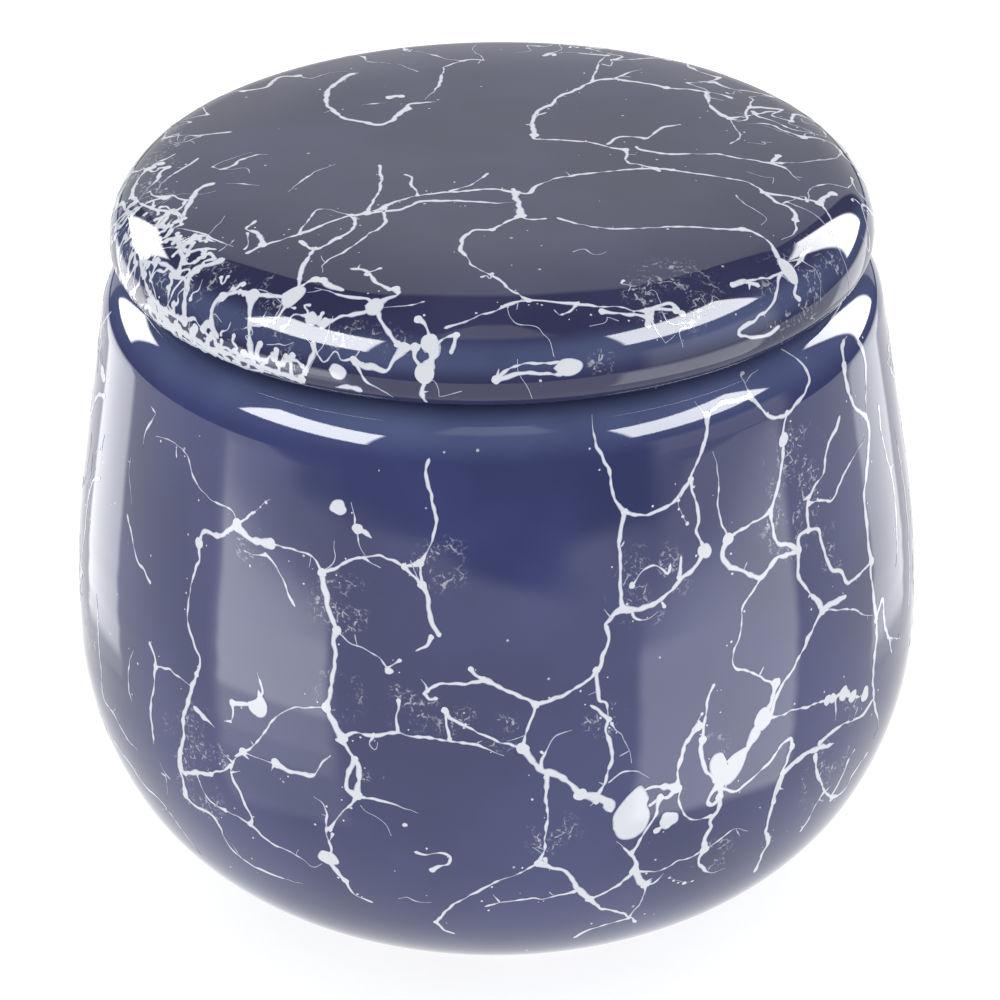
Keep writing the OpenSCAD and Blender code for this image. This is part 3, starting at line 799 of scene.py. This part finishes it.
# Pools and frosted patches on the lid's side, placed in the same way.
LID_POOLS = (
    (-33.8, 11.3, -33, 10.2, -31.6, 10, -30.6, 11.2, -30.4, 12.3, -31.2, 12.9, -32.4, 12.8),
    (-19.9, 12, -19, 11, -17.6, 11.1, -17, 12.2, -17.8, 13.1, -19, 13.2),
    (8.2, 5.7, 9.3, 4.9, 10.8, 4.8, 12, 5.3, 12.2, 6, 11, 6.5, 9.4, 6.5),
    (48.7, 9.4, 49.3, 8.1, 50.5, 7.8, 51.4, 9.2, 50.9, 10.8, 49.6, 11),
    (-23.2, 4.5, -22.5, 3.7, -21.2, 3.7, -20.6, 4.5, -21.4, 5.1, -22.6, 5.2),
    (-28.4, 9.6, -28, 8.9, -26.8, 8.7, -26, 9.2, -26.6, 9.8, -27.6, 10.2),
)

LID_FROST = (
    (30, 12.5, 4), (25, 11.8, 2.5), (49, 6.5, 4), (58, 8, 3), (15, 5.8, 1.1), (-15, 8, 1.8),
    (-22, 9, 1.8), (-42, 7.5, 2.6), (-52, 7, 2.8), (-57, 6, 3), (-62, 8, 3), (-31, 5, 2.2),
    (-34, 9, 1.4), (-73, 11, 4), (-88, 9, 5), (-100, 8, 6), (-48, 10, 2.5), (-40, 12, 1.5), (-66, 5, 3)
)


# ---------------------------------------------------------------- materials

JAR_NAVY = ((0.042, 0.050, 0.142, 1), (0.056, 0.067, 0.190, 1))
# The lid's navy is darker than the jar's: painted shade, standing in for the weaker light on the lid's
# upward faces.
LID_SHADED_NAVY = ((0.034, 0.035, 0.090, 1), (0.046, 0.049, 0.120, 1))
VEIN_WHITE = (0.80, 0.82, 0.88, 1)
VEIN_EDGE = (0.20, 0.24, 0.44, 1)
SHORE_NAVY = (0.016, 0.018, 0.062, 1)
# Painted light, a paler band standing in for light and reflections over an edge: its colour, then heights
# where that starts and is full, and where it starts to end and has ended, in mm.
JAR_PAINTED_LIGHT = ((0.120, 0.150, 0.310, 1), (73.5, 77.5, 90, 91))
LID_PAINTED_LIGHT = ((0.085, 0.108, 0.225, 1), (82.6, 84.6, 85.4, 87.2))
BARE_CLAY = (0.52, 0.49, 0.45, 1)


class Nodes:
    """A short way to add shader nodes to a material or world."""

    def __init__(self, tree):
        self.tree = tree
        tree.nodes.clear()

    def add(self, kind, **settings):
        node = self.tree.nodes.new("ShaderNode" + kind)
        for name, value in settings.items():
            setattr(node, name, value)
        return node

    def link(self, output, target):
        self.tree.links.new(output, target)

    def feed(self, target, value):
        if isinstance(value, bpy.types.NodeSocket):
            self.link(value, target)
        else:
            target.default_value = value

    def math(self, operation, first, second=0.0, third=0.0):
        node = self.add("Math", operation=operation)
        for target, value in zip(node.inputs, (first, second, third)):
            self.feed(target, value)
        return node.outputs[0]

    def times(self, first, second):
        return self.math("MULTIPLY", first, second)

    def fade(self, value, start, end, low=0.0, high=1.0):
        """A smooth step from low to high as value goes from start to end."""
        node = self.add("MapRange", interpolation_type="SMOOTHSTEP")
        for target, number in zip(node.inputs, (value, start, end, low, high)):
            self.feed(target, number)
        return node.outputs[0]

    def mix(self, amount, first, second):
        node = self.add("Mix", data_type="RGBA")
        self.feed(node.inputs["Factor"], amount)
        self.feed(node.inputs[6], first)
        self.feed(node.inputs[7], second)
        return node.outputs[2]

    def millimetres(self):
        """The place on the object, in mm."""
        where = self.add("TexCoord").outputs["Object"]
        node = self.add("VectorMath", operation="SCALE")
        self.link(where, node.inputs[0])
        node.inputs["Scale"].default_value = 1 / MM
        return node.outputs[0]

    def texture(self, kind, where, per_mm, **settings):
        node = self.add("Tex" + kind, **settings)
        self.link(where, node.inputs["Vector"])
        node.inputs["Scale"].default_value = per_mm
        return node

    def noise(self, where, per_mm, detail=2.0, roughness=0.5):
        node = self.texture("Noise", where, per_mm)
        node.inputs["Detail"].default_value = detail
        node.inputs["Roughness"].default_value = roughness
        return node.outputs["Fac"]

    def shader(self, **settings):
        node = self.add("BsdfPrincipled")
        for name, value in settings.items():
            self.feed(node.inputs[name.replace("_", " ")], value)
        output = self.add("OutputMaterial")
        self.link(node.outputs[0], output.inputs[0])
        return node

    def bump(self, shader, height, strength, distance_mm):
        node = self.add("Bump")
        node.inputs["Strength"].default_value = strength
        node.inputs["Distance"].default_value = distance_mm * MM
        self.link(height, node.inputs["Height"])
        self.link(node.outputs[0], shader.inputs["Normal"])


def new_material(name):
    material = bpy.data.materials.new(name)
    material.use_nodes = True
    return material, Nodes(material.node_tree)


def add_lace(nodes, where, colour):
    """Fine white lace in the frosted patches, and tiny specks everywhere."""
    frost = nodes.add("Attribute", attribute_name="frost").outputs["Fac"]
    bent = nodes.add("VectorMath", operation="ADD")
    nodes.link(where, bent.inputs[0])
    nodes.link(nodes.texture("Noise", where, 0.9).outputs["Color"], bent.inputs[1])
    net = nodes.texture("Voronoi", bent.outputs[0], 0.8, feature="DISTANCE_TO_EDGE")
    wall = nodes.fade(net.outputs["Distance"], 0.02, 0.09, 1.0, 0.0)
    torn = nodes.fade(nodes.noise(where, 0.33, 4.0), 0.45, 0.58)
    patchy = nodes.times(nodes.fade(frost, 0.12, 0.5), torn)
    broken = nodes.fade(nodes.noise(where, 1.7, 2.0), 0.46, 0.56)
    lace = nodes.times(nodes.times(wall, broken), patchy)
    flecks = nodes.fade(nodes.noise(where, 2.6, 5.0, 0.75), 0.56, 0.64)
    haze = nodes.times(nodes.times(flecks, patchy), 0.34)
    specks = nodes.texture("Voronoi", where, 0.42, feature="F1")
    crowd = nodes.fade(nodes.noise(where, 0.11, 1.0), 0.42, 0.66, 0.0, 0.075)
    speck = nodes.math("LESS_THAN", specks.outputs["Distance"], crowd)
    amount = nodes.math("MAXIMUM", nodes.times(lace, 0.5), haze)
    amount = nodes.math("MAXIMUM", amount, nodes.times(speck, 0.6))
    return nodes.mix(amount, colour, VEIN_WHITE)


def glaze_material(name, deep, thin, edge):
    """Navy glaze, deeper where it pooled, with a paler band of painted light over an edge."""
    material, nodes = new_material(name)
    where = nodes.millimetres()
    pooled = nodes.fade(nodes.noise(where, 0.05, 3.0), 0.32, 0.7)
    colour = nodes.mix(pooled, deep, thin)
    split = nodes.add("SeparateXYZ")
    nodes.link(where, split.inputs[0])
    # painted light: a paler band by height over the rounded edge, standing in for light and reflections
    # there
    painted_light_colour, (starts, full, ending, ended) = edge
    rising = nodes.fade(split.outputs["Z"], starts, full)
    falling = nodes.fade(split.outputs["Z"], ending, ended, 1.0, 0.0)
    patchy = nodes.fade(nodes.noise(where, 0.08, 2.0), 0.25, 0.7, 0.55, 1.0)
    amount = nodes.times(nodes.times(rising, falling), patchy)
    colour = nodes.mix(amount, colour, painted_light_colour)
    colour = add_lace(nodes, where, colour)
    shader = nodes.shader(Base_Color=colour, Roughness=0.03, IOR=1.5)
    nodes.bump(shader, nodes.noise(where, 0.045, 1.0), 0.35, 0.6)
    return material


def vein_material():
    """White glaze that the navy bleeds into at its edges."""
    material, nodes = new_material("vein_glaze")
    where = nodes.millimetres()
    ink = nodes.add("Attribute", attribute_name="ink").outputs["Fac"]
    uneven = nodes.math("MULTIPLY_ADD", nodes.noise(where, 1.3, 3.0), 0.5, -0.25)
    amount = nodes.fade(nodes.math("ADD", ink, uneven), 0.3, 0.95)
    colour = nodes.mix(amount, VEIN_EDGE, VEIN_WHITE)
    colour = nodes.mix(nodes.fade(ink, 0.04, 0.42), SHORE_NAVY, colour)
    shader = nodes.shader(Base_Color=colour, Roughness=0.08, IOR=1.5)
    nodes.bump(shader, nodes.noise(where, 0.045, 1.0), 0.35, 0.6)
    return material


def clay_material():
    """The bare, matt clay of the foot ring."""
    material, nodes = new_material("bare_clay")
    where = nodes.millimetres()
    grain = nodes.noise(where, 3.5, 5.0, 0.7)
    colour = nodes.mix(nodes.fade(grain, 0.35, 0.7), BARE_CLAY, (0.62, 0.59, 0.55, 1))
    shader = nodes.shader(Base_Color=colour, Roughness=nodes.fade(grain, 0.3, 0.7, 0.75, 0.95))
    nodes.bump(shader, grain, 0.5, 0.12)
    return material


def silicone_material(name, colour):
    """Satin silicone with the faint dust and flow marks of a moulding."""
    material, nodes = new_material(name)
    where = nodes.millimetres()
    dust = nodes.fade(nodes.noise(where, 2.2, 4.0, 0.65), 0.5, 0.72)
    tint = nodes.mix(nodes.times(dust, 0.35), colour, (0.6, 0.6, 0.58, 1))
    shader = nodes.shader(Base_Color=tint, Roughness=nodes.fade(dust, 0.0, 1.0, 0.42, 0.6))
    shader.inputs["Subsurface Weight"].default_value = 0.15
    shader.inputs["Subsurface Scale"].default_value = 0.8 * MM
    nodes.bump(shader, nodes.noise(where, 1.1, 2.0), 0.25, 0.05)
    return material


# ---------------------------------------------------------------- the pieces

CLAY = 1                # the castings' second material
ALL_ROUND = (-180, 180)
BACK_TURN = (76, 290)   # degrees round, between which no listed vein lies

# Nets of veins on the jar: size of a cell, seed, how many of the walls are drawn, widths, unevenness.
JAR_BOLD_NET = (13.5, 5, 0.88, (0.25, 0.35, 0.45, 0.6, 0.8), 0.46)
JAR_FINE_NET = (6.5, 6, 0.2, (0.2, 0.3, 0.4), 0.5)
JAR_THIN_NET = (9.5, 8, 0.2, (0.2, 0.26, 0.34), 0.6)
HEEL_NET = (9, 9, 0.6, (0.25, 0.35, 0.45, 0.6), 0.6)

# Nets of veins round the lid's side: degrees round, mm along the skin, size of a cell, seed,
# how many of the walls are drawn, and their widths.
LID_NETS = (
    ((-98, -50), (2, 16), 5.2, 31, 0.75, (0.35, 0.5, 0.8)),
    ((-84, -50), (2.2, 13), 2.6, 32, 0.55, (0.25, 0.35, 0.5)),
    ((-74, -50), (10, 14.5), 1.8, 37, 0.5, (0.25, 0.35)),
    ((-60, -27), (1.8, 5.6), 1.7, 33, 0.75, (0.3, 0.4, 0.55)),
    ((-50, -24), (5, 12), 3.0, 34, 0.4, (0.2, 0.3)),
    ((62, 262), (2, 22), 9.5, 35, 0.85, (0.25, 0.4, 0.6)),
    (ALL_ROUND, (2, 24), 6.5, 36, 0.13, (0.14, 0.2)),
)


def edge_of(outline, start, stop):
    """The part of an outline between two of its places, found by the nearest point to each."""
    first = int(np.argmin(np.hypot(*(outline - start).T)))
    last = int(np.argmin(np.hypot(*(outline - stop).T)))
    return outline[min(first, last):max(first, last) + 1]


def paint_frost(piece, skin, find, spots):
    """Stores how strongly each point of the piece's outer skin is frosted, by (degrees, up, radius)."""
    mesh = piece.data
    points = np.empty(len(mesh.vertices) * 3)
    mesh.vertices.foreach_get("co", points)
    points = points.reshape(-1, 3) / MM
    value = np.zeros(len(points))
    for place, radius in zip(find(*spots.T[:2]), spots[:, 2]):
        gap = np.linalg.norm(points - place, axis=1)
        value = np.maximum(value, np.exp(-(gap / radius) ** 2))
    value[np.linalg.norm(skin.lay(points)[0] - points, axis=1) > 0.2] = 0
    layer = mesh.attributes.new("frost", "FLOAT", "POINT")
    layer.data.foreach_set("value", value)


def draw(marks, routes, ink=1.0, barbs=True):
    """Draws (width, points) routes, whose points are in mm in space."""
    ends = [p for _, points in routes for p in points]
    marks.joints = np.array(ends)
    for width, points in routes:
        marks.strand(points, width, ink, barbs=barbs)


def on_side(place, numbers):
    """Pairs of numbers as points in space, found by place(degrees, up)."""
    return place(*np.array(numbers, float).reshape(-1, 2).T)


def on_top(skin, numbers):
    """Pairs of mm right and mm back as points on the skin's upper side."""
    flat = np.array(numbers, float).reshape(-1, 2)
    return skin.lay(np.column_stack([flat, np.full(len(flat), skin.corners[:, 1].max())]))[0]


def routes_of(find, place, table):
    """The table's rows as (width, points in space)."""
    return [(width, find(place, numbers)) for width, *numbers in table]


def net_routes(place, radius, turn, ups, size, seed, keep, widths, jitter):
    """A net of cells round a side, between two angles and two heights."""
    rng = np.random.default_rng(seed)
    low, high = ups
    width = radius * math.radians(turn[1] - turn[0])
    routes = []
    for a, b in cell_walls(width, high - low, size, seed + 1, keep, jitter):
        ends = np.array([a, b])
        bends = rng.normal(0, size * 0.1, (2, 2))
        path = np.vstack([a, ends[0] * 0.66 + ends[1] * 0.34 + bends[0],
                          ends[0] * 0.34 + ends[1] * 0.66 + bends[1], b])     # bent twice on its way
        degrees = turn[0] + np.degrees(path[:, 0] / radius)
        up = low + path[:, 1]
        if up.min() < low or up.max() > high or degrees.min() < turn[0] or degrees.max() > turn[1]:
            continue
        routes.append((rng.choice(widths), place(degrees, up)))
    return routes


def make_castings():
    jar_outline, _ = turned_outline("jar")
    lid_outline, _ = turned_outline("lid")
    clay = clay_material()
    foot_low = jar_outline[:, 1].min()
    foot_outer = jar_outline[np.abs(jar_outline[:, 1] - foot_low) < 0.01][:, 0].max()

    def bare_foot(radius, height):
        return CLAY if height < foot_low + 0.6 and radius < foot_outer + 1.2 else 0

    lid_seat = lid_outline[:, 1].min()

    def bare_plug(radius, height):
        return CLAY if height < lid_seat + 0.5 else 0

    jar = lathe("jar_casting", jar_outline, False, bare_foot)
    lid = lathe("lid_casting", lid_outline, False, bare_plug)
    # each piece's last colour gives its band of painted light over the edge
    for piece, name, navy, edge in ((jar, "jar", JAR_NAVY, JAR_PAINTED_LIGHT), (lid, "lid", LID_SHADED_NAVY, LID_PAINTED_LIGHT)):
        piece.data.materials.append(glaze_material(name + "_navy_glaze", *navy, edge))
        piece.data.materials.append(clay)
        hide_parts(name)
        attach(piece, name)
    return jar, jar_outline, lid, lid_outline


def outermost(outline, height):
    """The outline's widest point at a height."""
    level = outline[np.abs(outline[:, 1] - height) < 0.01]
    return level[level[:, 0].argmax()]


def jar_ends(outline):
    """Where the jar's outer skin starts, at the foot, and stops, at the rim."""
    return outermost(outline, outline[:, 1].min()), outermost(outline, outline[:, 1].max())


def lid_ends(outline):
    """Where the lid's outer skin starts, at its seat on the seal, and stops, at its middle."""
    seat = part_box("lid_seal")[1][2] / MM
    return outermost(outline, seat), (0, outline[:, 1].max())


def make_jar_veins(jar, outline, material):
    rim = outline[:, 1].max()
    skin = Skin(edge_of(outline, *jar_ends(outline)))
    marks = Marks(skin, 11)
    draw(marks, routes_of(on_side, skin.at_height, JAR_VEINS))
    for width, points in routes_of(on_side, skin.at_height, JAR_BEADS):
        marks.strand(points, 0.16, 0.8, barbs=False)
        for place in curve_through(points)[::4]:
            marks.drop(place, width * marks.rng.uniform(0.35, 0.62))
    for degrees, up, radius in JAR_DROPS:
        marks.drop(skin.at_height(degrees, up), radius, stretch=marks.rng.uniform(0.95, 1.2),
                   lean=marks.rng.uniform(-40, 40))
    for numbers in JAR_POOLS:
        marks.pool(on_side(skin.at_height, numbers))
    ups = (9, rim - 3)
    belly = outline[:, 0].max() - 3
    heel = outermost(outline, outline[:, 1].min())[0] + 8
    bold = net_routes(skin.at_height, belly, BACK_TURN, ups, *JAR_BOLD_NET)
    draw(marks, bold)
    for _, points in bold[::5]:
        marks.drop(points[0], marks.rng.uniform(0.4, 1.1), stretch=marks.rng.uniform(1, 1.6),
                   lean=marks.rng.uniform(-60, 60), ragged=0.2)
    draw(marks, net_routes(skin.at_height, belly, BACK_TURN, ups, *JAR_FINE_NET))
    draw(marks, net_routes(skin.at_travel, heel, ALL_ROUND, (1, 13), *HEEL_NET), barbs=False)
    draw(marks, net_routes(skin.at_height, belly, BACK_TURN, ups, *JAR_THIN_NET), barbs=False)
    rng = np.random.default_rng(21)
    count = 16
    behind = [rng.uniform(*limits, count) for limits in (BACK_TURN, ups, (2, 5))]
    spots = np.array([(degrees, up, radius * 1.3) for degrees, up, radius in JAR_FROST])
    paint_frost(jar, skin, skin.at_height, np.vstack([spots, np.column_stack(behind)]))
    veins = marks.finish("jar_veins", material)
    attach(veins, "jar")


def make_lid_veins(lid, outline, material):
    skin = Skin(edge_of(outline, *lid_ends(outline)))
    marks = Marks(skin, 12)
    top = routes_of(on_top, skin, LID_TOP_VEINS)
    draw(marks, top + routes_of(on_side, skin.at_travel, LID_SIDE_VEINS))
    for numbers in LID_POOLS:
        marks.pool(on_side(skin.at_travel, numbers))
    edge = outline[:, 0].max() - 1
    for turn, ups, size, seed, keep, widths in LID_NETS:
        net = net_routes(skin.at_travel, edge, turn, ups, size, seed, keep, widths, 0.5)
        draw(marks, net, barbs=False)
    spots = np.array([(degrees, up, radius * 1.1) for degrees, up, radius in LID_FROST])
    paint_frost(lid, skin, skin.at_travel, spots)
    veins = marks.finish("lid_veins", material)
    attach(veins, "lid")


def make_seal_and_pads():
    outline, closed = turned_outline("lid_seal")
    seal = lathe("seal_ring", outline, closed)
    seal.data.materials.append(silicone_material("seal_silicone_black", (0.02, 0.02, 0.022, 1)))
    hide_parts("lid_seal")
    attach(seal, "lid")
    pad_look = silicone_material("pad_silicone_clear", (0.62, 0.62, 0.6, 1))
    for name, node in frame["nodes"].items():
        if name.startswith("foot_pad"):
            node.data.materials.clear()
            node.data.materials.append(pad_look)


# ---------------------------------------------------------------- the studio

# What the glaze mirrors, as (degrees round from the camera's side, half the width, lowest and
# highest degrees above level, softness in degrees, brightness). The brightest are the soft
# boxes, and those below level are their images in the glossy table.
MIRRORED = (
    (-59, 21, 26, 46, 2, 18.0),
    (66, 25, 29, 48, 2, 16.0),
    (-134, 9, 5, 26, 2, 12.0),
    (132, 8, -2, 36, 2, 12.0),
    (180, 32, -8, 40, 1.5, 0.72),
    (0, 26, 60, 84, 8, 1.1),
    (0, 200, -95, -10.8, 0.6, 1.08),
    (66, 22, -10.5, 15, 7, 1.15),
    (-61, 17, -22, -13.2, 2.5, 2.0),
    (-61, 17, -28, -13.2, 5, 1.2),
    (-61, 19, -38, -11.3, 5, 0.6),
    (61, 24, -37, -13.2, 4, 2.3),
    (-134, 12, -28, -12.5, 3, 1.9),
    (132, 12, -28, -12.5, 3, 1.4),
)
DARK_ROOM = 0.05
ROOM_LIGHT = 0.93       # what lights the colours, from all round
BACKDROP = 1.1
FLOOR_MM = 3000


def mirrored_light(nodes):
    """The brightness of the studio in each direction."""
    way = nodes.add("TexCoord").outputs["Generated"]
    split = nodes.add("SeparateXYZ")
    nodes.link(way, split.inputs[0])
    rise = nodes.times(nodes.math("ARCSINE", split.outputs["Z"]), 180 / math.pi)
    light = DARK_ROOM
    for turn, half, low, high, soft, strength in MIRRORED:
        spun = nodes.add("VectorRotate", rotation_type="Z_AXIS")
        nodes.link(way, spun.inputs["Vector"])
        spun.inputs["Angle"].default_value = math.radians(-turn)
        flat = nodes.add("SeparateXYZ")
        nodes.link(spun.outputs[0], flat.inputs[0])
        back = nodes.times(flat.outputs["Y"], -1)
        away = nodes.math("ARCTAN2", flat.outputs["X"], back)
        away = nodes.times(nodes.math("ABSOLUTE", away), 180 / math.pi)
        glow = nodes.fade(away, half - soft / 2, half + soft / 2, strength, 0.0)
        for start, end in ((low - soft / 2, low + soft / 2), (high + soft / 2, high - soft / 2)):
            glow = nodes.times(glow, nodes.fade(rise, start, end))
        light = nodes.math("ADD", light, glow)
    return light


def make_world():
    """Even light on the colours, a white backdrop, and a dark studio with soft boxes in the gloss."""
    world = bpy.data.worlds.new("studio")
    bpy.context.scene.world = world
    world.use_nodes = True
    world.cycles.sampling_method = "NONE"
    nodes = Nodes(world.node_tree)
    path = nodes.add("LightPath")
    light = mirrored_light(nodes)
    for ray, level in (("Is Diffuse Ray", ROOM_LIGHT), ("Is Camera Ray", BACKDROP)):
        choose = nodes.add("Mix", data_type="FLOAT")
        nodes.feed(choose.inputs["Factor"], path.outputs[ray])
        nodes.feed(choose.inputs[2], light)
        nodes.feed(choose.inputs[3], level)
        light = choose.outputs[0]
    ground = nodes.add("Background")
    ground.inputs["Color"].default_value = (1, 1, 1, 1)
    nodes.link(light, ground.inputs["Strength"])
    output = nodes.add("OutputWorld")
    nodes.link(ground.outputs[0], output.inputs[0])


def make_floor():
    """A pale table. From below it is clear, so that the foot can be seen."""
    half = FLOOR_MM * MM / 2
    corners = [(-half, -half, 0), (half, -half, 0), (half, half, 0), (-half, half, 0)]
    mesh = new_mesh("floor", corners, [(0, 1, 2, 3)])
    floor = in_scene("floor", mesh)
    material, nodes = new_material("pale_floor")
    shader = nodes.shader(Base_Color=(0.3, 0.3, 0.305, 1), Roughness=0.6)
    shader.inputs["Emission Color"].default_value = (1, 1, 1, 1)
    shader.inputs["Emission Strength"].default_value = 0.85
    seen_through = nodes.add("MixShader")
    nodes.link(nodes.add("NewGeometry").outputs["Backfacing"], seen_through.inputs[0])
    nodes.link(shader.outputs[0], seen_through.inputs[1])
    nodes.link(nodes.add("BsdfTransparent").outputs[0], seen_through.inputs[2])
    nodes.link(seen_through.outputs[0], nodes.tree.get_output_node("ALL").inputs[0])
    mesh.materials.append(material)
    floor.visible_glossy = False
    floor.visible_diffuse = False


def main():
    make_camera()
    make_world()
    make_floor()
    bpy.context.scene.view_settings.view_transform = "Standard"
    jar, jar_outline, lid, lid_outline = make_castings()
    veins = vein_material()
    make_jar_veins(jar, jar_outline, veins)
    make_lid_veins(lid, lid_outline, veins)
    make_seal_and_pads()


main()
